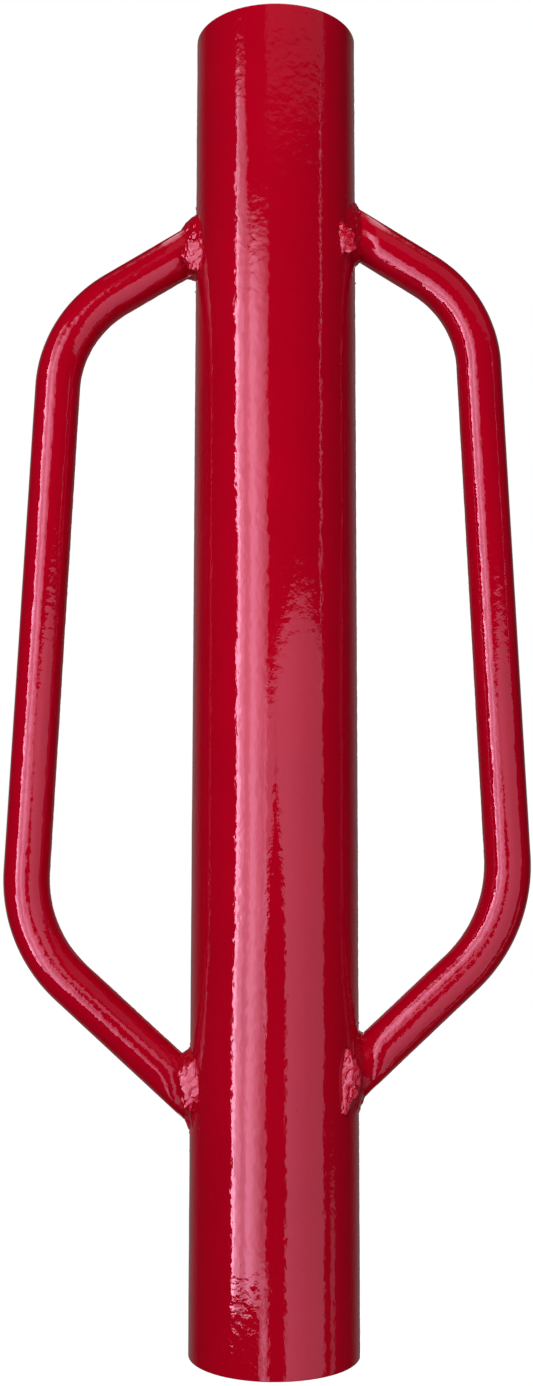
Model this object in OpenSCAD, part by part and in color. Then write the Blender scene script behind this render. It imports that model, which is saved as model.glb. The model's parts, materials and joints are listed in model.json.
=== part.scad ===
// Manual post driver: a heavy tube, closed at the top by a solid plug, with two bent-pipe
// handles welded on its sides. Millimetres, +Z up. The origin is the centre of the open mouth,
// so the post slides in along -Z to +Z. The handles lie in the XZ plane.

/* [Barrel] */
// Outside diameter of the barrel tube
barrel_d = 76.1; // [70:0.1:90]
// Wall thickness of the barrel tube
barrel_wall = 4; // [3.2:0.1:6]
// Length of the barrel
barrel_l = 610; // [580:1:760]
// Break on the edges of the barrel's two rims
rim_break = 0.8; // [0.2:0.1:1.2]

/* [End plug] */
// Thickness of the solid striking plug
plug_t = 22; // [12:1:40]
// Depth of the plug's top face below the barrel's top rim
plug_recess = 3.5; // [2.5:0.5:8]
// How much wider than the bore the seat is that the plug rests in
plug_seat_step = 0.75; // [0.25:0.25:1.5]
// Leg of the ring weld round the plug
plug_weld_leg = 2.5; // [1:0.5:2.5]

/* [Handle pipe] */
// Outside diameter of the handle pipe
pipe_d = 21.3; // [19:0.1:26.9]
// Wall thickness of the handle pipe
pipe_wall = 2.6; // [2:0.1:3.2]
// How much the pipe's radius shrinks where it is drawn round a bend
bend_draw = 0.1; // [0.08:0.01:0.2]

/* [Left handle] */
// Height where the left handle's upper leg meets the barrel wall
left_top_foot_z = 511.5; // [490:0.5:530]
// Height of the left handle's upper corner
left_top_corner_z = 469; // [450:0.5:480]
// Reach of the left handle's upper corner from the barrel's axis
left_top_reach = 101.5; // [95:0.5:120]
// Radius of the left handle's upper bend
left_top_bend = 56; // [45:1:60]
// Height where the left handle's lower leg meets the barrel wall
left_bottom_foot_z = 108; // [90:0.5:125]
// Height of the left handle's lower corner
left_bottom_corner_z = 182; // [170:0.5:200]
// Reach of the left handle's lower corner from the barrel's axis
left_bottom_reach = 114.5; // [105:0.5:130]
// Radius of the left handle's lower bend
left_bottom_bend = 63; // [50:1:68]

/* [Right handle] */
// Height where the right handle's upper leg meets the barrel wall
right_top_foot_z = 519; // [490:0.5:530]
// Height of the right handle's upper corner
right_top_corner_z = 479; // [450:0.5:480]
// Reach of the right handle's upper corner from the barrel's axis
right_top_reach = 95; // [90:0.5:120]
// Radius of the right handle's upper bend
right_top_bend = 55; // [45:1:60]
// Height where the right handle's lower leg meets the barrel wall
right_bottom_foot_z = 118; // [90:0.5:125]
// Height of the right handle's lower corner
right_bottom_corner_z = 188; // [175:0.5:200]
// Reach of the right handle's lower corner from the barrel's axis
right_bottom_reach = 107.5; // [100:0.5:130]
// Radius of the right handle's lower bend
right_bottom_bend = 67; // [50:1:68]

/* [Handle welds] */
// Leg of the weld bead round each handle foot
bead_leg = 4.5; // [3:0.5:6]
// Number of passes laid in each bead, from the barrel outwards
bead_passes = 2; // [1:1:3]

/* [Hidden] */
$fn = 96;
enamel = "#a5001e";

bore_r = barrel_d / 2 - barrel_wall;
seat_r = bore_r + plug_seat_step;
plug_top_z = barrel_l - plug_recess;
// The seat is turned into the barrel's top end down to the plug's striking face
seat_z = plug_top_z - plug_t;
// Each leg's centre line meets the barrel inside its wall
foot_x = barrel_d / 2 - 6;
// How far a leg is run back into the barrel, so that its whole end can be cut to the barrel
root = pipe_d;
// Extra length on a cutting shape, so that it runs clear of the face it cuts
clear = 1;
// How far a straight runs on into a bend, so that the thinner bend starts inside it
bend_lap = 2;

// A handle is given by the [x, z] points of its centre line's polygon, foot to foot from the
// top, and by the radii of the two bends that round its corners
left_line = [
    [-foot_x, left_top_foot_z], [-left_top_reach, left_top_corner_z],
    [-left_bottom_reach, left_bottom_corner_z], [-foot_x, left_bottom_foot_z]
];
right_line = [
    [foot_x, right_top_foot_z], [right_top_reach, right_top_corner_z],
    [right_bottom_reach, right_bottom_corner_z], [foot_x, right_bottom_foot_z]
];
left_bends = [left_top_bend, left_bottom_bend];
right_bends = [right_top_bend, right_bottom_bend];

function unit(v) = v / norm(v);
function corner_angle(a, b, c) = acos(unit(a - b) * unit(c - b));
// Distance from a corner to the point where its bend begins
function bend_setback(a, b, c, bend_r) = bend_r / tan(corner_angle(a, b, c) / 2);

// A straight round bar from one [x, z] point to another
module bar(from, to, r) {
    run = to - from;
    translate([from.x, 0, from.y])
        rotate([0, atan2(run.x, run.y), 0])
            cylinder(h = norm(run), r = r);
}

// The bend that rounds the corner b between a and c, as a piece of a torus
module bend(a, b, c, bend_r, r) {
    bisector = unit(unit(a - b) + unit(c - b));
    centre = b + bisector * bend_r / sin(corner_angle(a, b, c) / 2);
    swept = 180 - corner_angle(a, b, c);
    middle = atan2(-bisector.y, -bisector.x);
    translate([centre.x, 0, centre.y])
        rotate([90, 0, 0])
            rotate([0, 0, middle - swept / 2])
                rotate_extrude(angle = swept) translate([bend_r, 0]) circle(r = r);
}

// A round bar of radius r along the whole centre line, with both corners bent
module bent_bar(line, bends, r) {
    set_top = bend_setback(line[0], line[1], line[2], bends[0]);
    set_low = bend_setback(line[1], line[2], line[3], bends[1]);
    leg_top = unit(line[1] - line[0]);
    grip = unit(line[2] - line[1]);
    leg_low = unit(line[3] - line[2]);
    straight_top = set_top - bend_lap;
    straight_low = set_low - bend_lap;
    union() {
        bar(line[0] - leg_top * root, line[1] - leg_top * straight_top, r);
        bend(line[0], line[1], line[2], bends[0], r - bend_draw);
        bar(line[1] + grip * straight_top, line[2] - grip * straight_low, r);
        bend(line[1], line[2], line[3], bends[1], r - bend_draw);
        bar(line[2] + leg_low * straight_low, line[3] + leg_low * root, r);
    }
}

// The solid that fills the barrel's outside, used to cut whatever is fitted against it
module barrel_blank() {
    translate([0, 0, -clear]) cylinder(h = barrel_l + 2 * clear, d = barrel_d);
}

module barrel() {
    color(enamel) difference() {
        rotate_extrude() polygon([
            [bore_r - clear, 0], [barrel_d / 2 - rim_break, 0], [barrel_d / 2, rim_break],
            [barrel_d / 2, barrel_l - rim_break], [barrel_d / 2 - rim_break, barrel_l],
            [bore_r - clear, barrel_l]
        ]);
        translate([0, 0, -clear]) cylinder(h = barrel_l + 2 * clear, r = bore_r);
        translate([0, 0, seat_z]) cylinder(h = barrel_l - seat_z + clear, r = seat_r);
    }
}

module end_plug() {
    color(enamel) translate([0, 0, seat_z]) cylinder(h = plug_t, r = seat_r);
}

module plug_weld() {
    color(enamel) rotate_extrude() polygon([
        [seat_r - plug_weld_leg, plug_top_z], [seat_r, plug_top_z],
        [seat_r, plug_top_z + plug_weld_leg]
    ]);
}

module handle(line, bends) {
    color(enamel) difference() {
        bent_bar(line, bends, pipe_d / 2);
        bent_bar(line, bends, pipe_d / 2 - pipe_wall);
        barrel_blank();
    }
}

// The bead round one foot: passes that grow wider along the barrel as they grow lower off it
module foot_bead(foot, corner) {
    run = unit(corner - foot) * (pipe_d + bead_leg) * 2;
    color(enamel) difference() {
        for (pass = [1 : bead_passes]) intersection() {
            bar(foot - run, foot + run, pipe_d / 2 + bead_leg * pass / bead_passes);
            translate([0, 0, foot.y - norm(run)])
                cylinder(h = 2 * norm(run),
                         r = barrel_d / 2 + bead_leg * (1 - (pass - 1) / bead_passes));
        }
        bar(foot - 2 * run, foot + 2 * run, pipe_d / 2);
        barrel_blank();
    }
}

module handle_left() { handle(left_line, left_bends); }
module handle_right() { handle(right_line, right_bends); }
module weld_left_top() { foot_bead(left_line[0], left_line[1]); }
module weld_left_bottom() { foot_bead(left_line[3], left_line[2]); }
module weld_right_top() { foot_bead(right_line[0], right_line[1]); }
module weld_right_bottom() { foot_bead(right_line[3], right_line[2]); }

barrel();
end_plug();
plug_weld();
handle_left();
handle_right();
weld_left_top();
weld_left_bottom();
weld_right_top();
weld_right_bottom();
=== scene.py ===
"""Looks of the manual post driver: gloss red enamel on a heavy tube, its plug, two bent-pipe
handles and their welds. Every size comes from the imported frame. Metres, +Z up, and the origin
is the centre of the open mouth."""

import functools
import json
import math
import random

import bmesh
import bpy
from bpy.props import FloatProperty, FloatVectorProperty, IntProperty, PointerProperty
from mathutils import Matrix, Vector, noise


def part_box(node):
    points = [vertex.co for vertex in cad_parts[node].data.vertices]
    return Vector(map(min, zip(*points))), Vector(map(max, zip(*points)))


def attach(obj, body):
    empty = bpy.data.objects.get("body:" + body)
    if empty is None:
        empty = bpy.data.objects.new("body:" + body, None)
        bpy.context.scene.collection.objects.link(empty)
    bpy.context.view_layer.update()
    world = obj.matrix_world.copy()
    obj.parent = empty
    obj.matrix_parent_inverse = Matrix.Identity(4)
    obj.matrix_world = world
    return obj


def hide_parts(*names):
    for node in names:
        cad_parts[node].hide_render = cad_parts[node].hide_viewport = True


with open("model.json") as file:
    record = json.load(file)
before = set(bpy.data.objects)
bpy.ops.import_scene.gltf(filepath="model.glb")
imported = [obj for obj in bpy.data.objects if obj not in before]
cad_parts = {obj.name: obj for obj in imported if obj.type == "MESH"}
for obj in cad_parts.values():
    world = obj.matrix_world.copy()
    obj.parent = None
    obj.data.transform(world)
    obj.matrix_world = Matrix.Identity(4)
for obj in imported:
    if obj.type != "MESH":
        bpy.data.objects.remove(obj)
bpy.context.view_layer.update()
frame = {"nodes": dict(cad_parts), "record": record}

bl_info = {
    "name": "Post driver looks",
    "version": (1, 0, 0),
    "blender": (4, 5, 0),
    "location": "3D View > Sidebar > Post driver",
    "description": "Builds the enamelled tube, plug, handles and welds of a manual post driver",
    "category": "Object",
}

MM = 0.001
UP = Vector((0, 0, 1))
SIDEWAYS = Vector((0, 1, 0))
FULL_TURN = 2 * math.pi
DEGREES = math.degrees(1)

BARREL_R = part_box("barrel")[1].x
BARREL_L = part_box("barrel")[1].z
PLUG_LOW, PLUG_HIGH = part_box("end_plug")
SEAT_R = PLUG_HIGH.x
BORE_R = next(m["dims"]["r_mm"] for m in frame["record"]["mounts"] if m["name"] == "post_bore") * MM
# The attribute that unrolls a pipe: its section in X and Y, and the length along it in Z
ALONG_PIPE = "along_pipe"
# How far from the wall a pipe's rings stop, so that its foot can be cut to the barrel
CLEAR_OF_WALL = 16 * MM
# Height of the faces in the barrel's bore
INNER_PITCH = 10 * MM

# Each bead's size in mm over, in front of, under and behind its pipe: first along the barrel, then
# along the pipe; and how full its face is there
BEADS = {
    "weld_left_top": ((2.4, 4.0, 3.0, 4.0), (9.5, 6.0, 4.5, 4.0), (0.88, 0.6, 0.4, 0.6)),
    "weld_left_bottom": ((5.0, 4.0, 2.4, 4.5), (5.5, 5.0, 3.0, 4.0), (0.38, 0.5, 0.4, 0.6)),
    "weld_right_top": ((1.8, 3.6, 2.4, 5.0), (3.0, 5.0, 2.6, 4.0), (0.4, 0.45, 0.4, 0.6)),
    "weld_right_bottom": ((2.6, 3.8, 2.6, 5.0), (3.4, 4.5, 3.5, 4.0), (0.38, 0.45, 0.4, 0.6)),
}
# Each front puddle's heart from the point where the pipe's axis meets the wall, its width, height
# and depth, all in mm; the azimuth and elevation that it faces; and the side of the bead that it
# grew from, as an angle round the pipe from its top through the front, with its spread in mm
PUDDLES = {
    "weld_left_top": ((0.2, -13.6, -8.6), (11.5, 13, 3.4), (-18, -9), (124, 1.5)),
    "weld_left_bottom": ((1.2, -15.4, 4.8), (11, 20, 4.0), (-18, 3), (75, 3.5)),
    "weld_right_top": ((-8.4, -22.2, -12.4), (12.5, 14, 3.8), (-15, -9), (124, 8.0)),
    "weld_right_bottom": ((-8.2, -22.4, -2.6), (13, 24, 4.2), (-15, 4), (95, 9.0)),
}
PUDDLE_SPREAD = math.radians(42)
# How much deeper the back half of a puddle is than its front, so that it is rooted in the bead
PUDDLE_ROOT = 3
# How far a bead's toes lie under the skin that they end on, and its root under the corner
TOE_SINK, BEAD_ROOT = 0.12 * MM, 0.8 * MM
# Share of a bead's section that is its face
FACE_SHARE = 0.72
# Ranges in mm of a droplet's distance from its bead and of its radius
SPATTER_AWAY, SPATTER_R = (0.5, 11), (0.22, 0.55)

# Widths of the enamel's orange peel, its flow waves and its patches, and the size of its nibs
PEEL_SIZE, FLOW_SIZE, PATCH_SIZE = 0.95 * MM, 3.4 * MM, 60 * MM
NIB_SPACING, NIB_RADIUS = 9 * MM, 0.675 * MM
# Share of the nibs' places that hold one
NIB_SHARE = 0.07
CHIPPED_EDGE = (0.09, 0.075, 0.07, 1)
LIGHT_SCALE = (0.19, 0.175, 0.165, 1)
DARK_SCALE = (0.055, 0.045, 0.042, 1)

# Heights between which the round screen of the studio stands, and how far the floor is below
SCREEN_FOOT, SCREEN_TOP = -2.0, 1.6
FLOOR_GAP = 0.2 * MM
# Brightness across the strip light and the white card, from the left edge (0) to the right (1)
STRIPES = (
    (0.0, 0.0), (0.02, 2.3), (0.06, 2.3), (0.10, 1.4), (0.15, 1.0), (0.22, 0.95), (0.30, 0.60),
    (0.40, 0.62), (0.50, 1.05), (0.60, 0.95), (0.70, 0.68), (0.82, 0.50), (0.97, 0.22), (1.0, 0.0))
CARD_SLOPE = ((0.0, 1.0), (0.35, 0.95), (0.7, 0.65), (1.0, 0.55))
# Bright shapes in the dim room: azimuths and elevations in degrees, each from low to high with
# the widths of those two edges, and brightness
ROOM_SHAPES = {
    "thin line": ((65.5, 67.5, 1, 1), (8, 27, 2, 3), 2.2),
    "haze": ((-14, 74, 3, 6), (27.5, 58, 3, 9), 0.45),
    "edge line": ((80, 87, 1, 1), (-60, -11, 5, 1), 0.7),
}
LOW_TAIL = ((-21, -8, 2, 2), (-60, -14, 10, 2), 0.3)


# Settings


class TubeSettings(bpy.types.PropertyGroup):
    rim_round: FloatProperty(
        name="Rim rounding", description="Radius of the barrel's rims under the enamel",
        default=0.8 * MM, min=0.1 * MM, max=1.5 * MM, unit="LENGTH")
    wave_height: FloatProperty(
        name="Wave height", description="Height of the rolled tube's long waves",
        default=0.07 * MM, min=0, max=0.2 * MM, unit="LENGTH")
    wave_length: FloatProperty(
        name="Wave length", description="Length of the rolled tube's long waves",
        default=26 * MM, min=5 * MM, max=100 * MM, unit="LENGTH")
    columns: IntProperty(
        name="Columns", description="Faces round the barrel", default=216, min=64, max=256)
    row_pitch: FloatProperty(
        name="Row pitch", description="Height of the faces on the outside of the barrel",
        default=2.1 * MM, min=1 * MM, max=10 * MM, unit="LENGTH")


class PipeSettings(bpy.types.PropertyGroup):
    columns: IntProperty(
        name="Columns", description="Faces round a handle pipe", default=80, min=24, max=128)
    ring_pitch: FloatProperty(
        name="Ring pitch", description="Distance between the rings of a handle pipe",
        default=2 * MM, min=1 * MM, max=10 * MM, unit="LENGTH")
    foot_depth: FloatProperty(
        name="Foot depth", description="How far a pipe's foot is sunk in the barrel's wall",
        default=1.2 * MM, min=0, max=3 * MM, unit="LENGTH")
    wave_height: FloatProperty(
        name="Wave height", description="Height of the bent pipe's long waves",
        default=0.03 * MM, min=0, max=0.2 * MM, unit="LENGTH")
    wave_length: FloatProperty(
        name="Wave length", description="Length of the bent pipe's long waves",
        default=19 * MM, min=5 * MM, max=100 * MM, unit="LENGTH")


class WeldSettings(bpy.types.PropertyGroup):
    leg: FloatProperty(
        name="Leg", description="Leg of the bead round a handle's foot",
        default=4.0 * MM, min=2 * MM, max=6 * MM, unit="LENGTH")
    ripple_pitch: FloatProperty(
        name="Ripple pitch", description="Distance between a bead's ripples",
        default=3.1 * MM, min=1 * MM, max=6 * MM, unit="LENGTH")
    ripple_height: FloatProperty(
        name="Ripple height", description="Height of a bead's ripples under the enamel",
        default=0.3 * MM, min=0, max=1 * MM, unit="LENGTH")
    lump_height: FloatProperty(
        name="Lump height", description="Height of the uneven lumps along a bead",
        default=0.55 * MM, min=0, max=2 * MM, unit="LENGTH")
    fold_depth: FloatProperty(
        name="Fold depth", description="Depth of the folds between a bead's lumps",
        default=0.3 * MM, min=0, max=1 * MM, unit="LENGTH")
    puddle_lump: FloatProperty(
        name="Puddle lumps", description="Height of the lumps in the puddles in front",
        default=0.2 * MM, min=0, max=1 * MM, unit="LENGTH")
    spatter: IntProperty(
        name="Spatter", description="Droplets round each bead", default=16, min=0, max=60)


class EnamelSettings(bpy.types.PropertyGroup):
    colour: FloatVectorProperty(
        name="Colour", description="Colour of the red enamel", subtype="COLOR",
        default=(0.39, 0.0, 0.011), min=0, max=1)
    gloss_tint: FloatVectorProperty(
        name="Gloss tint", description="Tint of the light that the enamel mirrors",
        subtype="COLOR", default=(1.0, 0.45, 0.68), min=0, max=1)
    roughness: FloatProperty(
        name="Roughness", description="Roughness of the enamel", subtype="FACTOR",
        default=0.045, min=0, max=1)
    peel_height: FloatProperty(
        name="Orange peel height", description="Height of the enamel's orange peel",
        default=0.018 * MM, min=0, max=0.2 * MM, unit="LENGTH")
    flow_height: FloatProperty(
        name="Flow height", description="Height of the wider waves in the enamel",
        default=0.105 * MM, min=0, max=0.4 * MM, unit="LENGTH")
    streak_height: FloatProperty(
        name="Streak height", description="Height of the draw lines along the pipe",
        default=0.06 * MM, min=0, max=0.2 * MM, unit="LENGTH")


class StudioSettings(bpy.types.PropertyGroup):
    lens: FloatProperty(
        name="Lens", description="Focal length of the camera, in mm", default=40.773,
        min=20, max=120)
    camera_place: FloatVectorProperty(
        name="Camera place", description="Where the camera stands", subtype="TRANSLATION",
        default=(-3.41 * MM, -721.4 * MM, 212.5 * MM))
    camera_turn: FloatVectorProperty(
        name="Camera turn", description="The camera's tilt up, its roll and its turn to the left",
        subtype="EULER", default=(math.radians(6.449), math.radians(-0.103), math.radians(0.042)))
    key_power: FloatProperty(
        name="Key light", description="Power of the soft light in front", default=21, min=0,
        unit="POWER")
    back_power: FloatProperty(
        name="Back light", description="Power of the soft light behind", default=10, min=0,
        unit="POWER")
    fill: FloatProperty(
        name="Fill", description="Brightness of the light from all round", default=0.10, min=0)
    strip: FloatProperty(
        name="Strip light", description="Brightness of the tall strip light in the gloss",
        default=9.0, min=0)
    card: FloatProperty(
        name="Card", description="Brightness of the white card in the gloss", default=2.6, min=0)
    screen_radius: FloatProperty(
        name="Screen radius", description="Radius of the round screen that carries strip and card",
        default=750 * MM, min=300 * MM, max=2000 * MM, unit="LENGTH")
    floor_radius: FloatProperty(
        name="Floor radius", description="Radius of the pale floor", default=6, min=2,
        unit="LENGTH")


# Shader helpers


class Value:
    """A value in a node tree that sums and products take like a number."""

    def __init__(self, socket):
        self.socket = socket
        self.tree = socket.id_data

    def __add__(self, other):
        return calc("ADD", self, other)

    def __sub__(self, other):
        return calc("SUBTRACT", self, other)

    def __rsub__(self, other):
        return calc("SUBTRACT", other, self)

    def __mul__(self, other):
        return calc("MULTIPLY", self, other)

    def __truediv__(self, other):
        return calc("DIVIDE", self, other)


def plug(slot, value):
    """Links a value to an input, or sets a plain number or colour on it."""
    if isinstance(value, Value):
        slot.id_data.links.new(value.socket, slot)
    else:
        slot.default_value = value


def feed(node, **values):
    """Fills a node's inputs by their names, in which _ stands for a space."""
    for name, value in values.items():
        plug(node.inputs[name.replace("_", " ")], value)
    return node


def add_node(tree, kind, **values):
    return feed(tree.nodes.new("ShaderNode" + kind), **values)


def output(node, name):
    return Value(node.outputs[name])


def calc(operation, *operands):
    """What a Math node makes of values and numbers."""
    tree = next(operand.tree for operand in operands if isinstance(operand, Value))
    node = add_node(tree, "Math")
    node.operation = operation
    for slot, operand in zip(node.inputs, operands):
        plug(slot, operand)
    return output(node, "Value")


def ramp(value, start, end, smooth=True):
    """0 at start and 1 at end, easing at both if smooth; start may lie above end."""
    node = add_node(value.tree, "MapRange", Value=value, From_Min=start, From_Max=end)
    node.interpolation_type = "SMOOTHSTEP" if smooth else "LINEAR"
    return output(node, "Result")


def window(value, low, high, soft_low, soft_high):
    """1 between low and high, with edges soft_low and soft_high wide."""
    rise = ramp(value, low - soft_low / 2, low + soft_low / 2)
    return rise * ramp(value, high + soft_high / 2, high - soft_high / 2)


def patch_of(azimuth, elevation, across, up, bright):
    """A soft-edged patch of that brightness; across and up are the limits of its windows."""
    return window(azimuth, *across) * window(elevation, *up) * bright


def curve_of(value, stops):
    """The brightness at value on the straight lines between (place, brightness) stops."""
    node = add_node(value.tree, "ValToRGB", Fac=value)
    elements = node.color_ramp.elements
    for end, (place, level) in ((0, stops[0]), (1, stops[-1])):
        elements[end].position = place
        elements[end].color = (level, level, level, 1)
    for place, level in stops[1:-1]:
        elements.new(place).color = (level, level, level, 1)
    return output(node, "Color")


def blend_colours(share, first, second):
    """The first colour where share is 0, and the second where it is 1."""
    node = add_node(share.tree, "Mix")
    node.data_type = "RGBA"
    feed(node, Factor=share)
    for slot, colour in zip([s for s in node.inputs if s.type == "RGBA"], (first, second)):
        plug(slot, colour)
    return Value(next(s for s in node.outputs if s.type == "RGBA"))


def object_coordinates(tree):
    return output(add_node(tree, "TexCoord"), "Object")


def axes_of(place):
    split = add_node(place.tree, "SeparateXYZ", Vector=place)
    return [output(split, axis) for axis in "XYZ"]


def noise_of(place, size, detail=1.0, roughness=0.5, stretch=None):
    """Smooth noise from 0 to 1 whose features are size wide; stretch scales each axis first."""
    if stretch:
        place = output(add_node(place.tree, "Mapping", Vector=place, Scale=stretch), "Vector")
    node = add_node(place.tree, "TexNoise", Vector=place, Scale=1 / size, Detail=detail,
                    Roughness=roughness)
    return output(node, "Fac")


def new_group(name, inputs, outputs):
    """A shader node group, as (group, given values by name, output node). The inputs' defaults
    and the outputs' samples tell the kinds of its sockets: a number or a colour."""
    group = bpy.data.node_groups.new(name, "ShaderNodeTree")
    for way, sockets in (("INPUT", inputs), ("OUTPUT", outputs)):
        for title, value in sockets.items():
            kind = "Float" if isinstance(value, float) else "Color"
            group.interface.new_socket(
                title, in_out=way, socket_type="NodeSocket" + kind).default_value = value
    start = group.nodes.new("NodeGroupInput")
    given = {socket.name: Value(socket) for socket in start.outputs if socket.name}
    return group, given, group.nodes.new("NodeGroupOutput")


def use_group(tree, maker, **values):
    """Places a shared node group with its own values, as its results by name."""
    node = add_node(tree, "Group")
    node.node_tree = maker()
    feed(node, **values)
    return {socket.name: Value(socket) for socket in node.outputs}


@functools.cache
def paint_skin():
    """Orange peel, wider flow waves and nibs of sprayed enamel. The heights given are in metres,
    and the height that comes out is in millimetres."""
    group, given, result = new_group(
        "paint_skin",
        {"Peel Height": 0.01 * MM, "Flow Height": 0.03 * MM, "Nib Height": 0.04 * MM,
         "Nib Share": NIB_SHARE},
        {"Height": 0.0, "Tone": 0.5, "Nibs": 0.0})
    place = object_coordinates(group)
    peel = noise_of(place, PEEL_SIZE, roughness=0.4)
    flow = noise_of(place, FLOW_SIZE, detail=1.5, roughness=0.45, stretch=(1, 1, 0.85))
    patch = noise_of(place, PATCH_SIZE, detail=2.0)
    cells = add_node(group, "TexVoronoi", Vector=place, Scale=1 / NIB_SPACING)
    split = add_node(group, "SeparateColor", Color=output(cells, "Color"))
    rare = calc("LESS_THAN", output(split, "Red"), given["Nib Share"])
    nibs = rare * ramp(output(cells, "Distance"), NIB_RADIUS / NIB_SPACING, 0.0)
    strength = ramp(patch, 0.3, 0.7) * 0.8 + 0.6
    height = (peel * given["Peel Height"] * strength + flow * given["Flow Height"]
              + nibs * given["Nib Height"])
    feed(result, Height=height * (1 / MM), Tone=patch, Nibs=nibs)
    return group


@functools.cache
def shade_pair():
    """Blends two colours by a tone, and darkens the result where a mask is set."""
    group, given, result = new_group(
        "shade_pair",
        {"Light": (1, 1, 1, 1), "Dark": (0, 0, 0, 1), "Tone": 0.5, "Grime": 0.0},
        {"Color": (1, 1, 1, 1)})
    blend = blend_colours(ramp(given["Tone"], 0.25, 0.75), given["Dark"], given["Light"])
    dim = add_node(group, "HueSaturation", Color=blend, Value=1.0 - given["Grime"] * 0.6)
    feed(result, Color=output(dim, "Color"))
    return group


@functools.cache
def edge_wear():
    """Mask of small chips near a level height, for the enamel's thin edges."""
    group, given, result = new_group(
        "edge_wear", {"Level": 0.0, "Reach": 1.2 * MM, "Amount": 0.4}, {"Wear": 0.0})
    place = object_coordinates(group)
    away = calc("ABSOLUTE", axes_of(place)[2] - given["Level"])
    near = calc("MAXIMUM", 1.0 - away / given["Reach"], 0.0)
    specks = noise_of(place, 1.6 * MM, detail=3.0, roughness=0.6)
    limit = 1.0 - near * given["Amount"]
    feed(result, Wear=ramp(specks, limit, limit + 0.06))
    return group


def new_material(name):
    material = bpy.data.materials.new(name)
    material.use_nodes = True
    tree = material.node_tree
    return material, tree, tree.nodes["Principled BSDF"]


def raise_surface(shader, height):
    """Feeds a height in millimetres to the shader's normal."""
    bump = add_node(shader.id_data, "Bump", Strength=1.0, Distance=MM, Height=height)
    feed(shader, Normal=output(bump, "Normal"))


def opaque(colour, share=1.0):
    """A colour times share, with full cover."""
    return (*(Vector(colour) * share), 1)


def enamel_material(name, skin=1.0, wear_levels=(), streak_from=None, crinkle=0.0,
                    nib_share=NIB_SHARE):
    """Gloss red enamel. skin scales its unevenness, wear_levels are heights of thin edges,
    streak_from names the attribute that draw lines follow, crinkle is the height of a bead's
    fine folds, and nib_share is how much of the skin has nibs in it."""
    given = bpy.context.scene.driver_enamel
    material, tree, shader = new_material(name)
    surface = use_group(tree, paint_skin, Peel_Height=given.peel_height * skin,
                        Flow_Height=given.flow_height * skin, Nib_Height=0.05 * MM,
                        Nib_Share=nib_share)
    shown = use_group(tree, shade_pair, Light=opaque(given.colour, 1.02),
                      Dark=opaque(given.colour, 0.93), Tone=surface["Tone"],
                      Grime=surface["Nibs"])["Color"]
    rough = surface["Tone"] * 0.03 + (given.roughness - 0.015)
    for level in wear_levels:
        wear = use_group(tree, edge_wear, Level=level)["Wear"]
        shown = blend_colours(wear, shown, CHIPPED_EDGE)
        rough = rough + wear * 0.4
    feed(shader, Base_Color=shown, Roughness=rough, IOR=1.5, Specular_Tint=opaque(given.gloss_tint))
    if streak_from:
        along = add_node(tree, "Attribute")
        along.attribute_name = streak_from
        lines = noise_of(output(along, "Vector"), 2.1 * MM, detail=1.5, stretch=(1, 1, 0.14))
    else:
        lines = noise_of(object_coordinates(tree), 1.3 * MM, stretch=(1, 1, 0.05)) * 0.13
    height = surface["Height"] + lines * (given.streak_height / MM)
    if crinkle:
        folds = noise_of(object_coordinates(tree), 0.8 * MM, detail=2.0)
        height = height + folds * (crinkle / MM)
    raise_surface(shader, height)
    return material


def bore_material():
    """The barrel's inside: enamel overspray at the mouth that gives way to scaled bare steel."""
    given = bpy.context.scene.driver_enamel
    material, tree, shader = new_material("bore_steel")
    place = object_coordinates(tree)
    scale = noise_of(place, 7 * MM, detail=6.0, roughness=0.62, stretch=(1, 1, 0.3))
    mist = noise_of(place, 14 * MM, detail=5.0, roughness=0.6)
    bare = ramp(axes_of(place)[2] + mist * (60 * MM), 55 * MM, 120 * MM)
    steel = use_group(tree, shade_pair, Light=LIGHT_SCALE, Dark=DARK_SCALE, Tone=scale)
    paint = use_group(tree, shade_pair, Light=opaque(given.colour), Dark=opaque(given.colour, 0.8),
                      Tone=mist)
    feed(shader, Base_Color=blend_colours(bare, paint["Color"], steel["Color"]),
         Roughness=bare * 0.35 + 0.22, Metallic=bare * 0.75)
    raise_surface(shader, scale * 0.12)
    return material


def plug_material():
    """Enamel over the plug's face, which keeps the rings that the parting tool left."""
    given = bpy.context.scene.driver_enamel
    material, tree, shader = new_material("enamel_over_turned_face")
    surface = use_group(tree, paint_skin, Peel_Height=given.peel_height,
                        Flow_Height=given.flow_height)
    rings = add_node(tree, "TexWave", Vector=object_coordinates(tree), Scale=1 / (4 * MM),
                     Distortion=0.4, Detail=1.0)
    rings.wave_type = "RINGS"
    rings.rings_direction = "Z"
    shade = use_group(tree, shade_pair, Light=opaque(given.colour),
                      Dark=opaque(given.colour, 0.86), Tone=surface["Tone"])
    feed(shader, Base_Color=shade["Color"], Roughness=surface["Tone"] * 0.08 + 0.06,
         Specular_Tint=opaque(given.gloss_tint))
    raise_surface(shader, output(rings, "Fac") * 0.014 + surface["Height"])
    return material


# Mesh helpers


def add_object(name, data):
    made = bpy.data.objects.new(name, data)
    bpy.context.scene.collection.objects.link(made)
    return made


def object_from(bm, name, *materials):
    """Makes the bmesh an object at the origin, in those materials."""
    mesh = bpy.data.meshes.new(name)
    bm.to_mesh(mesh)
    bm.free()
    for material in materials:
        mesh.materials.append(material)
    return add_object(name, mesh)


def finish_piece(bm, name, node, slot, *materials):
    """Makes the piece's object, smooth all over, and ties it to the frame."""
    piece = object_from(bm, name, *materials)
    for polygon in piece.data.polygons:
        polygon.use_smooth = True
    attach(piece, "root")
    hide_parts(node)


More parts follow.
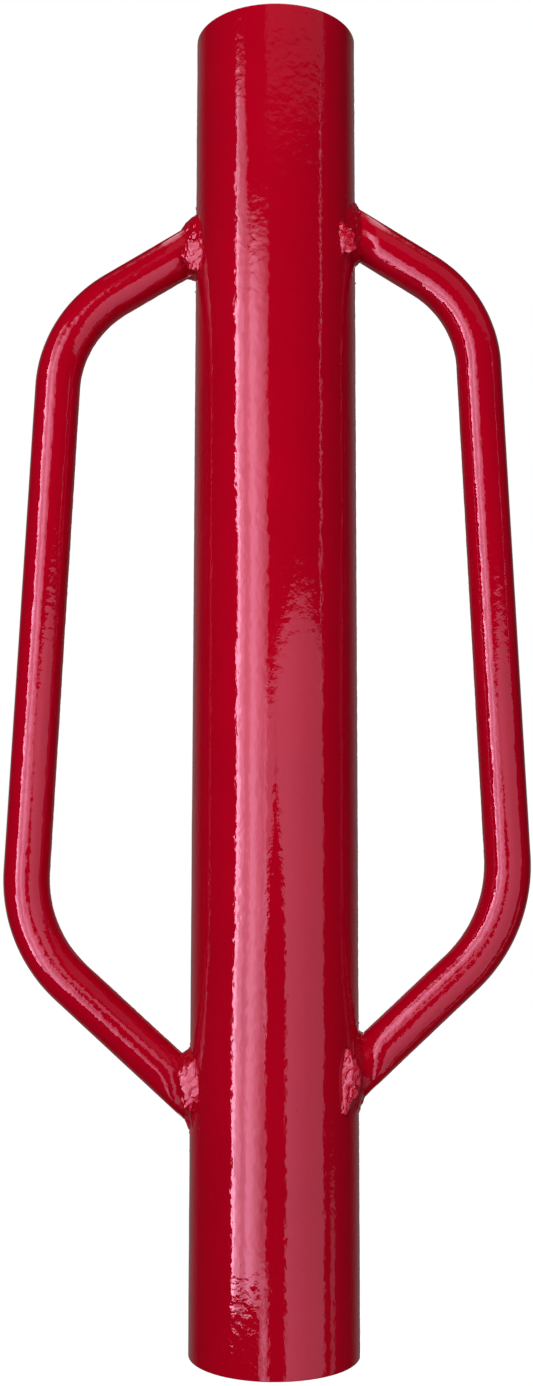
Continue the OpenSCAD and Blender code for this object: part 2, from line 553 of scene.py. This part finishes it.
def waves(point, size, seed):
    """Smooth noise from -1 to 1 whose waves are size long."""
    return noise.noise(point / size + Vector((seed * 7.3, seed * 3.1, seed * 5.7)))


def outline(bm, corners):
    """Makes a face through (x, z) corners in the XZ plane."""
    bm.faces.new([bm.verts.new((x, 0, z)) for x, z in corners])


def facing(azimuth, elevation):
    """The direction of an azimuth and an elevation in degrees: 0 to the front, 90 to +X."""
    way = Vector((0, -1, 0))
    way.rotate(Matrix.Rotation(math.radians(-elevation), 3, "X"))
    way.rotate(Matrix.Rotation(math.radians(azimuth), 3, "Z"))
    return way


def verts_in(geometry):
    return [e for e in geometry if isinstance(e, bmesh.types.BMVert)]


def extruded(bm, edges):
    """Extrudes edges in place, as the new vertices."""
    return verts_in(bmesh.ops.extrude_edge_only(bm, edges=edges)["geom"])


def open_section(bm, corners, radius, segments):
    """Rounds corners of a section's face, and leaves only its edges."""
    bmesh.ops.bevel(bm, geom=corners, offset=radius, offset_type="OFFSET", segments=segments,
                    profile=0.5, affect="VERTICES", material=-1)
    bmesh.ops.delete(bm, geom=bm.faces[:], context="FACES_ONLY")


def spin_ring(bm, radius, place, segments, steps):
    """A ring round Z, with a round section whose heart is at place in the XZ plane."""
    section = bmesh.ops.create_circle(bm, segments=segments, radius=radius)["verts"]
    bmesh.ops.rotate(bm, verts=section, cent=(0, 0, 0),
                     matrix=Matrix.Rotation(math.pi / 2, 3, "X"))
    bmesh.ops.translate(bm, verts=section, vec=place)
    spin_round(bm, steps)


def spin_round(bm, steps):
    """Turns every edge of a section once round Z."""
    bmesh.ops.spin(bm, geom=bm.verts[:] + bm.edges[:], cent=(0, 0, 0), axis=UP,
                   angle=FULL_TURN, steps=steps, use_merge=True)
    bmesh.ops.remove_doubles(bm, verts=bm.verts, dist=1e-7)
    bmesh.ops.recalc_face_normals(bm, faces=bm.faces)


def section_centres(node, point, normal):
    """Centre of each separate ring that a plane cuts from a CAD node, and its half width in Y."""
    bm = bmesh.new()
    bm.from_mesh(frame["nodes"][node].data)
    bmesh.ops.remove_doubles(bm, verts=bm.verts, dist=1e-6)
    cut = bmesh.ops.bisect_plane(bm, geom=bm.verts[:] + bm.edges[:] + bm.faces[:],
                                 plane_co=point, plane_no=normal)
    points = [vert.co.copy() for vert in verts_in(cut["geom_cut"])]
    bm.free()
    middle = (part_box(node)[0].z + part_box(node)[1].z) / 2
    centres = []
    for part in ([p for p in points if p.z > middle], [p for p in points if p.z <= middle]):
        if part:
            low = Vector([min(p[i] for p in part) for i in range(3)])
            high = Vector([max(p[i] for p in part) for i in range(3)])
            centres.append(((low + high) / 2, (high.y - low.y) / 2))
    return centres


def crossing(a, b, c, d):
    """Where the line a-b meets the line c-d, both in the XZ plane."""
    run, other = b - a, d - c
    share = ((c.x - a.x) * other.z - (c.z - a.z) * other.x) / (run.x * other.z - run.z * other.x)
    return a + run * share


@functools.cache
def handle_line(node, side):
    """A CAD handle's centre line: its two wall points and corners from the top, the two bend
    radii, and the pipe's radius."""
    near, far = 6 * MM, 26 * MM
    legs = [section_centres(node, (side * (BARREL_R + reach), 0, 0), (1, 0, 0))
            for reach in (near, far)]
    grip = [section_centres(node, (0, 0, BARREL_L * share), UP)[0] for share in (0.62, 0.42)]
    wall_low, wall_high = Vector((side * BARREL_R, 0, 0)), Vector((side * BARREL_R, 0, 1))
    walls = [crossing(legs[0][i][0], legs[1][i][0], wall_low, wall_high) for i in range(2)]
    corners = [crossing(legs[0][i][0], legs[1][i][0], grip[0][0], grip[1][0]) for i in range(2)]
    bends = []
    for wall, corner, other in zip(walls, corners, corners[::-1]):
        to_wall = (wall - corner).normalized()
        to_grip = (other - corner).normalized()
        inward = (to_wall + to_grip).normalized()
        rings = section_centres(node, corner, inward.cross(SIDEWAYS))
        apart = min((centre - corner).length for centre, _ in rings)
        half = to_wall.angle(to_grip) / 2
        bends.append(apart / (1 / math.sin(half) - 1))
    return walls, corners, bends, grip[0][1]


def reach_to_barrel(point, direction, radius):
    """How far point runs along direction to meet the barrel's cylinder from outside."""
    a = direction.x ** 2 + direction.y ** 2
    b = point.x * direction.x + point.y * direction.y
    c = point.x ** 2 + point.y ** 2 - radius ** 2
    return (-b + math.sqrt(max(b * b - a * c, 0))) / a


def ring_edges(verts):
    """The edges that join a ring's own vertices."""
    wanted = set(verts)
    return list({e for v in verts for e in v.link_edges if e.other_vert(v) in wanted})


def round_key(point):
    """A vertex's place as a key, the same for a vertex and its copy."""
    return tuple(round(c / (0.001 * MM)) for c in point)


# Pieces


class DRIVER_OT_barrel(bpy.types.Operator):
    """Build the rolled tube with its rounded rims, bore and plug seat"""

    bl_idname = "post_driver.barrel"
    bl_label = "Barrel"

    def execute(self, context):
        given = context.scene.driver_tube
        bm = bmesh.new()
        corners = [(BORE_R, 0), (BARREL_R, 0), (BARREL_R, BARREL_L), (SEAT_R, BARREL_L),
                   (SEAT_R, PLUG_LOW.z), (BORE_R, PLUG_LOW.z)]
        outline(bm, corners)
        rims = [v for v in bm.verts if v.co.z < MM or v.co.z > BARREL_L - MM]
        open_section(bm, rims, given.rim_round, 5)
        long_edges = [e for e in bm.edges if e.calc_length() > BARREL_L / 2]
        outer = [e for e in long_edges if e.verts[0].co.x > SEAT_R]
        inner = [e for e in long_edges if e.verts[0].co.x < SEAT_R]
        bmesh.ops.subdivide_edges(bm, edges=outer, cuts=round(BARREL_L / given.row_pitch))
        bmesh.ops.subdivide_edges(bm, edges=inner, cuts=round(BARREL_L / INNER_PITCH))
        spin_round(bm, given.columns)
        mid_wall_r = (BARREL_R + SEAT_R) / 2
        for vert in bm.verts:
            out = Vector((vert.co.x, vert.co.y, 0))
            if out.length > mid_wall_r:
                lift = waves(vert.co, given.wave_length, 1) + 0.5 * waves(
                    vert.co, given.wave_length * 0.45, 2)
                vert.co += out.normalized() * lift * given.wave_height
        for face in bm.faces:
            centre = face.calc_center_median()
            inside = math.hypot(centre.x, centre.y) < SEAT_R
            face.material_index = 1 if inside and centre.z < PLUG_LOW.z else 0
        outside = enamel_material("enamel_barrel", wear_levels=(0.0, BARREL_L))
        finish_piece(bm, "enamelled_barrel", "barrel", "enamel", outside, bore_material())
        return {"FINISHED"}


class DRIVER_OT_end_plug(bpy.types.Operator):
    """Build the solid striking plug and the ring weld that holds it"""

    bl_idname = "post_driver.end_plug"
    bl_label = "End plug"

    def execute(self, context):
        self.build_plug(context.scene.driver_tube)
        self.build_ring_weld(context.scene.driver_weld)
        return {"FINISHED"}

    def build_plug(self, given):
        bm = bmesh.new()
        chamfer = 1 * MM
        outline(bm, [(0, PLUG_LOW.z), (SEAT_R, PLUG_LOW.z), (SEAT_R, PLUG_HIGH.z),
                     (0, PLUG_HIGH.z)])
        open_section(bm, [v for v in bm.verts if v.co.x > SEAT_R / 2], chamfer, 3)
        on_axis = [e for e in bm.edges if max(v.co.x for v in e.verts) < 1e-6]
        bmesh.ops.delete(bm, geom=on_axis, context="EDGES")
        flat = [e for e in bm.edges if e.calc_length() > SEAT_R / 2]
        bmesh.ops.subdivide_edges(bm, edges=flat, cuts=20)
        spin_round(bm, given.columns // 2)
        for vert in bm.verts:
            if vert.co.z > PLUG_HIGH.z - chamfer / 2:
                vert.co.z += 0.12 * MM * waves(vert.co, 15 * MM, 5)
        finish_piece(bm, "striking_plug", "end_plug", "enamel_plug", plug_material())

    def build_ring_weld(self, given):
        low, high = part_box("plug_weld")
        leg = high.z - low.z
        heart = Vector((high.x - leg * 0.3, 0, low.z + leg * 0.3))
        bm = bmesh.new()
        spin_ring(bm, leg * 0.62, heart, segments=20, steps=260)
        ripples = round(FULL_TURN * heart.x / given.ripple_pitch)
        for vert in bm.verts:
            angle = math.atan2(vert.co.y, vert.co.x)
            out = Vector((math.cos(angle), math.sin(angle), 0))
            centre = out * heart.x + UP * heart.z
            away = vert.co - centre
            bow = away.dot(out) / leg
            scallop = abs(math.sin(ripples / 2 * angle + 1.6 * bow * bow))
            swell = 1 + 0.12 * (scallop - 0.6) + 0.16 * waves(vert.co, 7 * MM, 9)
            vert.co = centre + away * swell
            vert.co.z = min(vert.co.z, BARREL_L - 0.3 * MM)
        skin = enamel_material("enamel_ring_weld", skin=0.5)
        finish_piece(bm, "ring_weld", "plug_weld", "enamel_weld", skin)


class DRIVER_OT_handles(bpy.types.Operator):
    """Build the two bent-pipe handles, foot to foot, with their feet cut to the barrel"""

    bl_idname = "post_driver.handles"
    bl_label = "Handles"

    def execute(self, context):
        for node, side in (("handle_left", -1), ("handle_right", 1)):
            self.build_handle(context.scene.driver_pipe, node, side)
        return {"FINISHED"}

    def build_handle(self, given, node, side):
        walls, corners, bends, pipe_r = handle_line(node, side)
        bm = bmesh.new()
        leg = (corners[0] - walls[0]).normalized()
        place_layer = bm.verts.layers.float_vector.new(ALONG_PIPE)
        ring = bmesh.ops.create_circle(bm, segments=given.columns, radius=pipe_r)["verts"]
        for vert in ring:
            vert[place_layer] = vert.co
        turn = UP.rotation_difference(leg).to_matrix()
        bmesh.ops.rotate(bm, verts=ring, cent=(0, 0, 0), matrix=turn)
        place = walls[0] + leg * CLEAR_OF_WALL
        bmesh.ops.translate(bm, verts=ring, vec=place)
        first = ring
        for corner, bend_r, ahead in zip(corners, bends, (corners[1], walls[1])):
            before = (corner - place).normalized()
            after = (ahead - corner).normalized()
            turned = before.angle(after)
            setback = bend_r * math.tan(turned / 2)
            ring = self.run_on(bm, given, ring, (corner - place).length - setback, before)
            inward = (after - before).normalized()
            heart = corner + inward * bend_r / math.cos(turned / 2)
            ring = self.run_on(bm, given, ring, turned * bend_r,
                               before.cross(after).normalized(), heart, turned)
            place = corner + after * setback
        last_leg = (walls[1] - corners[1]).normalized()
        straight = (walls[1] - place).length - CLEAR_OF_WALL
        ring = self.run_on(bm, given, ring, straight, last_leg)
        self.cope(bm, first, -leg, given.foot_depth)
        self.cope(bm, ring, last_leg, given.foot_depth)
        bmesh.ops.recalc_face_normals(bm, faces=bm.faces)
        bm.normal_update()
        shifts = {v: v.normal * given.wave_height * (
            waves(v.co, given.wave_length, 11) + 0.5 * waves(v.co, given.wave_length * 0.4, 12))
            for v in bm.verts}
        for vert, shift in shifts.items():
            vert.co += shift
        skin = enamel_material("enamel_" + node, skin=1.5, streak_from=ALONG_PIPE, nib_share=0.3)
        finish_piece(bm, "bent_pipe_" + node, node, "enamel_pipe", skin)

    def run_on(self, bm, given, ring, length, axis, heart=None, turned=0):
        """Extrudes the ring along its axis, or round it at the bend's heart, ring by ring."""
        steps = max(4, round(length / given.ring_pitch))
        place_layer = bm.verts.layers.float_vector[ALONG_PIPE]
        for _ in range(steps):
            places = {round_key(v.co): v[place_layer].copy() for v in ring}
            ring = extruded(bm, ring_edges(ring))
            for vert in ring:
                vert[place_layer] = places[round_key(vert.co)] + UP * (length / steps)
            if heart is None:
                bmesh.ops.translate(bm, verts=ring, vec=axis * (length / steps))
            else:
                bmesh.ops.rotate(bm, verts=ring, cent=heart,
                                 matrix=Matrix.Rotation(turned / steps, 3, axis))
        return ring

    def cope(self, bm, ring, direction, depth):
        """Runs the ring's edge on into the barrel's wall, to a saddle, and closes it."""
        foot = extruded(bm, ring_edges(ring))
        for vert in foot:
            vert.co -= direction * reach_to_barrel(vert.co, -direction, BARREL_R - depth)
        bmesh.ops.contextual_create(bm, geom=ring_edges(foot))


class DRIVER_OT_welds(bpy.types.Operator):
    """Build the rippled bead round each handle foot, with its front puddle and spatter"""

    bl_idname = "post_driver.welds"
    bl_label = "Welds"

    def execute(self, context):
        for side, word in ((-1, "left"), (1, "right")):
            walls, corners, _, pipe_r = handle_line("handle_" + word, side)
            for place, wall, corner in zip(("top", "bottom"), walls, corners):
                self.build_bead(context.scene.driver_weld, f"weld_{word}_{place}", wall,
                                corner, pipe_r)
        return {"FINISHED"}

    def build_bead(self, given, node, wall, corner, pipe_r):
        seed = sum(map(ord, node)) % 97
        leg = (corner - wall).normalized()
        mean_r = pipe_r + given.leg
        bm = bmesh.new()
        spin_ring(bm, given.leg / 2, (mean_r, 0, 0), segments=36, steps=220)
        upward = leg.cross(SIDEWAYS)
        if upward.z < 0:
            upward = -upward
        for vert in bm.verts:
            around = math.atan2(vert.co.y, vert.co.x)
            rise = math.hypot(vert.co.x, vert.co.y) - mean_r
            section_angle = math.atan2(vert.co.z, rise) % FULL_TURN
            vert.co = self.bead_point(given, node, wall, leg, upward, pipe_r, around,
                                      section_angle, seed)
        bmesh.ops.recalc_face_normals(bm, faces=bm.faces)
        self.add_puddle(bm, given, node, wall, seed)
        self.add_spatter(bm, given, wall, pipe_r, seed)
        skin = enamel_material("enamel_" + node, skin=0.6, crinkle=0.09 * MM)
        finish_piece(bm, "bead_" + node, node, "enamel_weld", skin)

    def bead_point(self, given, node, wall, leg, upward, pipe_r, around, section_angle, seed):
        """One point of the bead: around the pipe, and from the pipe's toe (0) over the bead's
        face to the barrel's toe (1), or back through the metal under it."""
        share = section_angle / FULL_TURN
        ahead, side = math.cos(around), math.sin(around)
        out = upward * ahead + SIDEWAYS * side
        spot = Vector((ahead, side, 0)) * (pipe_r + given.leg / 2)
        weights = (max(ahead, 0) ** 2, max(-side, 0) ** 2, max(-ahead, 0) ** 2, max(side, 0) ** 2)
        along_barrel, along_pipe, proud = (
            sum(w * size for w, size in zip(weights, sizes)) for sizes in BEADS[node])
        grown_at, grown_by = PUDDLES[node][3]
        off = (around + math.radians(grown_at) + math.pi) % FULL_TURN - math.pi
        along_barrel += grown_by * math.exp(-(off / PUDDLE_SPREAD) ** 2)

        def on_barrel(distance, sink):
            base = wall + out * distance
            return base + leg * reach_to_barrel(base, leg, BARREL_R - sink)

        saddle = on_barrel(pipe_r, 0)
        ragged = 1 + 0.3 * waves(spot, 5 * MM, seed)
        pipe_toe = saddle + leg * along_pipe * MM * ragged - out * TOE_SINK
        ragged = 1 + 0.3 * waves(spot, 6 * MM, seed + 1)
        barrel_toe = on_barrel(pipe_r + along_barrel * MM * ragged, TOE_SINK)
        if share > FACE_SHARE:
            back = (share - FACE_SHARE) / (1 - FACE_SHARE)
            deep = saddle - (out + leg) * BEAD_ROOT
            if back < 0.5:
                return barrel_toe.lerp(deep, back * 2)
            return deep.lerp(pipe_toe, back * 2 - 1)
        along = share / FACE_SHARE
        crest = pipe_toe + barrel_toe - saddle
        belly = proud + 0.12 * waves(spot, 4 * MM, seed + 2)
        control = saddle.lerp(crest, belly)
        point = (pipe_toe * (1 - along) ** 2 + control * 2 * along * (1 - along)
                 + barrel_toe * along ** 2)
        outward = (crest - saddle).normalized()
        cover = math.sin(math.pi * along)
        arc = around * (pipe_r + given.leg / 2) / given.ripple_pitch * math.pi
        bow = 2.2 * (along - 0.45) ** 2
        ripple = abs(math.sin(arc + bow * math.pi + waves(spot, 3 * MM, seed + 3))) - 0.6
        lump = waves(point, 3.2 * MM, seed + 4) + 0.55 * waves(point, 1.4 * MM, seed + 5)
        fold = (1 - abs(waves(point, 2.3 * MM, seed + 6))) ** 5
        lift = (ripple * given.ripple_height + lump * given.lump_height
                - fold * given.fold_depth) * cover ** 0.8
        return point + outward * lift

    def add_puddle(self, bm, given, node, wall, seed):
        """The crinkled puddle of weld metal that stands in front of the foot."""
        heart, size, (azimuth, elevation), _ = PUDDLES[node]
        width, height, depth = (Vector(size) * MM / 2)
        front = facing(azimuth, elevation)
        across = UP.cross(front).normalized()
        upright = front.cross(across)
        ball = bmesh.ops.create_icosphere(bm, subdivisions=6, radius=1)["verts"]
        for vert in ball:
            unit = vert.co.copy()
            edge = 1 + 0.5 * waves(unit, 0.7, seed + 7) + 0.2 * waves(unit, 0.3, seed + 8)
            point = (across * unit.x * width + upright * unit.z * height) * edge
            if unit.y > 0:
                point -= front * unit.y * depth * PUDDLE_ROOT
            else:
                point += front * abs(unit.y) ** 0.6 * depth
            fold = (1 - abs(waves(point, 4.2 * MM, seed + 9))) ** 9
            lump = waves(point, 4.0 * MM, seed + 10) + 0.3 * waves(point, 1.7 * MM, seed + 11)
            lift = lump * given.puddle_lump - fold * given.fold_depth
            vert.co = wall + Vector(heart) * MM + point + front * lift

    def add_spatter(self, bm, given, wall, pipe_r, seed):
        """Small droplets of weld metal under the enamel, on the barrel round the bead."""
        draw = random.Random(seed)
        for _ in range(given.spatter):
            turn = draw.uniform(0, FULL_TURN)
            away = pipe_r + given.leg + draw.uniform(*SPATTER_AWAY) * MM
            size = draw.uniform(*SPATTER_R) * MM
            y = away * math.sin(turn)
            z = wall.z + away * math.cos(turn)
            x = math.copysign(math.sqrt(BARREL_R ** 2 - y * y), wall.x)
            out = Vector((x, y, 0)).normalized()
            drop = bmesh.ops.create_icosphere(bm, subdivisions=2, radius=size)["verts"]
            bmesh.ops.transform(bm, verts=drop, matrix=Matrix.Scale(0.5, 4, out))
            bmesh.ops.translate(bm, verts=drop, vec=Vector((x, y, z)) + out * size * 0.1)


# Studio


def azimuth_of(x, y):
    """The azimuth of a direction in degrees, 0 to the front and 90 to +X."""
    return calc("ARCTAN2", x, y * -1) * DEGREES


def world_angles(tree):
    """Azimuth and elevation of a direction in the world, in degrees."""
    x, y, z = axes_of(output(add_node(tree, "TexCoord"), "Generated"))
    flat = calc("SQRT", x * x + y * y)
    return azimuth_of(x, y), calc("ARCTAN2", z, flat) * DEGREES


def screen_angles(tree, radius, eye):
    """Azimuth and elevation at which an eye, mirrored in the barrel, finds a spot on a round
    screen of that radius about it, in degrees."""
    x, y, z = axes_of(object_coordinates(tree))
    pull = 1 - BARREL_R / (2 * radius)
    reach = radius - eye.y - 2 * BARREL_R
    return azimuth_of(x, y) / pull, calc("ARCTAN2", z - eye.z, reach) * DEGREES


class DRIVER_OT_studio(bpy.types.Operator):
    """Set the camera, the pale floor, the soft lights and what the gloss mirrors"""

    bl_idname = "post_driver.studio"
    bl_label = "Studio"

    def execute(self, context):
        given = context.scene.driver_studio
        self.set_camera(context, given)
        self.lay_floor(given)
        self.hang_lights(given)
        self.hang_screens(given)
        self.paint_world(context, given)
        context.scene.view_settings.view_transform = "Standard"
        return {"FINISHED"}

    def set_camera(self, context, given):
        data = bpy.data.cameras.new("camera")
        data.sensor_width = 36
        data.lens = given.lens
        data.clip_start = 0.01
        camera = add_object("camera", data)
        tilt, roll, turn = given.camera_turn
        camera.matrix_world = (
            Matrix.Translation(given.camera_place) @ Matrix.Rotation(turn, 4, "Z")
            @ Matrix.Rotation(tilt, 4, "X") @ Matrix.Rotation(roll, 4, "Y")
            @ Matrix.Rotation(math.pi / 2, 4, "X"))
        context.scene.camera = camera

    def lay_floor(self, given):
        bm = bmesh.new()
        bmesh.ops.create_circle(bm, cap_ends=True, segments=128, radius=given.floor_radius)
        bmesh.ops.translate(bm, verts=bm.verts, vec=(0, 0, -FLOOR_GAP))
        floor = object_from(bm, "floor", self.floor_material())
        floor.visible_glossy = False

    def floor_material(self):
        """White in view with only the softest shadow, and a plain pale floor to other light."""
        material, tree, shader = new_material("pale_floor")
        grain = noise_of(object_coordinates(tree), 40 * MM, detail=4.0)
        shade = use_group(tree, shade_pair, Light=(0.82, 0.82, 0.82, 1),
                          Dark=(0.80, 0.80, 0.80, 1), Tone=grain)
        feed(shader, Base_Color=shade["Color"], Roughness=0.9, Specular_IOR_Level=0.0)
        glow = add_node(tree, "Emission", Color=(1, 1, 1, 1), Strength=1.1)
        seen = output(add_node(tree, "LightPath"), "Is Camera Ray")
        join = add_node(tree, "MixShader", Fac=seen * 0.9)
        plug(join.inputs[1], output(shader, "BSDF"))
        plug(join.inputs[2], output(glow, "Emission"))
        feed(tree.nodes["Material Output"], Surface=output(join, "Shader"))
        return material

    def hang_lights(self, given):
        target = UP * (BARREL_L / 2)
        rows = (("key_light", -12, 24, 1.5, 0.9, given.key_power),
                ("back_light", 165, 20, 1.5, 1.2, given.back_power))
        for name, azimuth, elevation, distance, size, power in rows:
            data = bpy.data.lights.new(name, "AREA")
            data.size = size
            data.energy = power
            light = add_object(name, data)
            aim = facing(azimuth, elevation)
            light.location = target + aim * distance
            light.rotation_euler = aim.to_track_quat("Z", "Y").to_euler()
            light.visible_glossy = False
            light.visible_camera = False

    def paint_world(self, context, given):
        """A fill from all round, white in view, with a dim room for the gloss to mirror."""
        world = bpy.data.worlds.new("studio")
        context.scene.world = world
        world.use_nodes = True
        world.cycles.sampling_method = "NONE"
        tree = world.node_tree
        path = add_node(tree, "LightPath")
        mirrored = self.dim_room(*world_angles(tree))
        light = output(path, "Is Glossy Ray") * (mirrored - given.fill) + given.fill
        seen = output(path, "Is Camera Ray") * (1.0 - light)
        feed(tree.nodes["Background"], Strength=light + seen, Color=(1, 1, 1, 1))

    def hang_screens(self, given):
        """The strip light and the white card, on a round screen that only the gloss mirrors."""
        bm = bmesh.new()
        bmesh.ops.create_circle(bm, segments=96, radius=given.screen_radius)
        bmesh.ops.translate(bm, verts=bm.verts, vec=UP * SCREEN_FOOT)
        top = extruded(bm, bm.edges[:])
        bmesh.ops.translate(bm, verts=top, vec=UP * (SCREEN_TOP - SCREEN_FOOT))
        screens = object_from(bm, "screens", self.screen_material(given))
        for kind in ("camera", "diffuse", "transmission", "shadow"):
            setattr(screens, "visible_" + kind, False)

    def screen_material(self, given):
        material, tree, shader = new_material("lit_screens")
        tree.nodes.remove(shader)
        material.cycles.emission_sampling = "NONE"
        angles = screen_angles(tree, given.screen_radius, Vector(given.camera_place))
        bright = self.strip_light(*angles) * given.strip + self.white_card(*angles) * given.card
        lit = add_node(tree, "Emission", Strength=bright)
        both = add_node(tree, "AddShader")
        plug(both.inputs[0], output(lit, "Emission"))
        plug(both.inputs[1], output(add_node(tree, "BsdfTransparent"), "BSDF"))
        feed(tree.nodes["Material Output"], Surface=output(both, "Shader"))
        return material

    def strip_light(self, azimuth, elevation):
        """The tall strip light to the front left, with the stripes of its tubes and baffles."""
        left_edge, right_edge, bow = -59.0, -10.0, 4.5
        left = window(elevation, -3, 14, 4, 4) * bow + left_edge
        right = ramp(elevation, -3, -9) * -bow + right_edge
        stripes = curve_of(ramp(azimuth, left, right, smooth=False), STRIPES)
        high_end, drop = 28.0, 5.2
        top = ramp(azimuth, -47, -38) * -drop + high_end
        tall = ramp(elevation, -15.1, -14.5) * ramp(elevation - top, 1.1, -1.1)
        faded = ramp(elevation, 18.5, 25.5) * -0.62 + 1.0
        return stripes * (tall * faded) + patch_of(azimuth, elevation, *LOW_TAIL)

    def white_card(self, azimuth, elevation):
        """The white card to the front right, with the dark gap where the camera stands."""
        left_edge, right_edge, highest = -15, 69, 36
        reach = window(azimuth, left_edge, right_edge, 2, 3)
        arch = calc("POWER", (azimuth - highest) / 34, 2)
        top = calc("MINIMUM", arch, 1.5) * -2.4 + 10.0
        foot = ramp(elevation, -24, -19) * 0.2 + 0.8
        below = foot * ramp(elevation, -60, -50) * ramp(elevation - top, 0.35, -0.35)
        slope = curve_of(ramp(azimuth, left_edge, right_edge + 1, smooth=False), CARD_SLOPE)
        gap_at, gap_edge = 1.0, 1.0
        gap_width = ramp(elevation, 4.5, -3) * 13.5
        off_gap = calc("ABSOLUTE", azimuth - gap_at)
        return reach * below * slope * ramp(off_gap, gap_width - gap_edge, gap_width + gap_edge)

    def dim_room(self, azimuth, elevation):
        """What else the gloss mirrors: a dim room, its thin bright lines and a strip behind."""
        around = calc("ABSOLUTE", azimuth)
        beside = ramp(around, 118, 150)
        room = beside * window(elevation, -60, 34, 20, 12) * 0.17 + 0.02
        on_left = ramp(azimuth, 10, -10)
        lost = ramp(elevation, 16, -2) + 1.0
        back = (ramp(around, 168, 171) * window(elevation, -50, 30, 8, 7)
                * (2.2 - on_left * lost))
        overhead = ramp(elevation, 62, 76) * 3.0
        shapes = (patch_of(azimuth, elevation, *shape) for shape in ROOM_SHAPES.values())
        return sum(shapes, room + back + overhead)


class DRIVER_PT_sidebar(bpy.types.Panel):
    """Post driver: its pieces and its studio"""

    bl_label = "Post driver"
    bl_idname = "DRIVER_PT_sidebar"
    bl_space_type = "VIEW_3D"
    bl_region_type = "UI"
    bl_category = "Post driver"

    def draw(self, context):
        for operator in OPERATORS:
            self.layout.operator(operator.bl_idname)


SETTINGS = {"driver_tube": TubeSettings, "driver_pipe": PipeSettings, "driver_weld": WeldSettings,
            "driver_enamel": EnamelSettings, "driver_studio": StudioSettings}
OPERATORS = (DRIVER_OT_barrel, DRIVER_OT_end_plug, DRIVER_OT_handles, DRIVER_OT_welds,
             DRIVER_OT_studio)
CLASSES = (*SETTINGS.values(), *OPERATORS, DRIVER_PT_sidebar)


def register():
    for kind in CLASSES:
        bpy.utils.register_class(kind)
    for name, kind in SETTINGS.items():
        setattr(bpy.types.Scene, name, PointerProperty(type=kind))


def unregister():
    for name in SETTINGS:
        delattr(bpy.types.Scene, name)
    for kind in reversed(CLASSES):
        bpy.utils.unregister_class(kind)


def main():
    register()
    for operator in OPERATORS:
        group, name = operator.bl_idname.split(".")
        getattr(getattr(bpy.ops, group), name)()


if __name__ == "__main__":
    main()
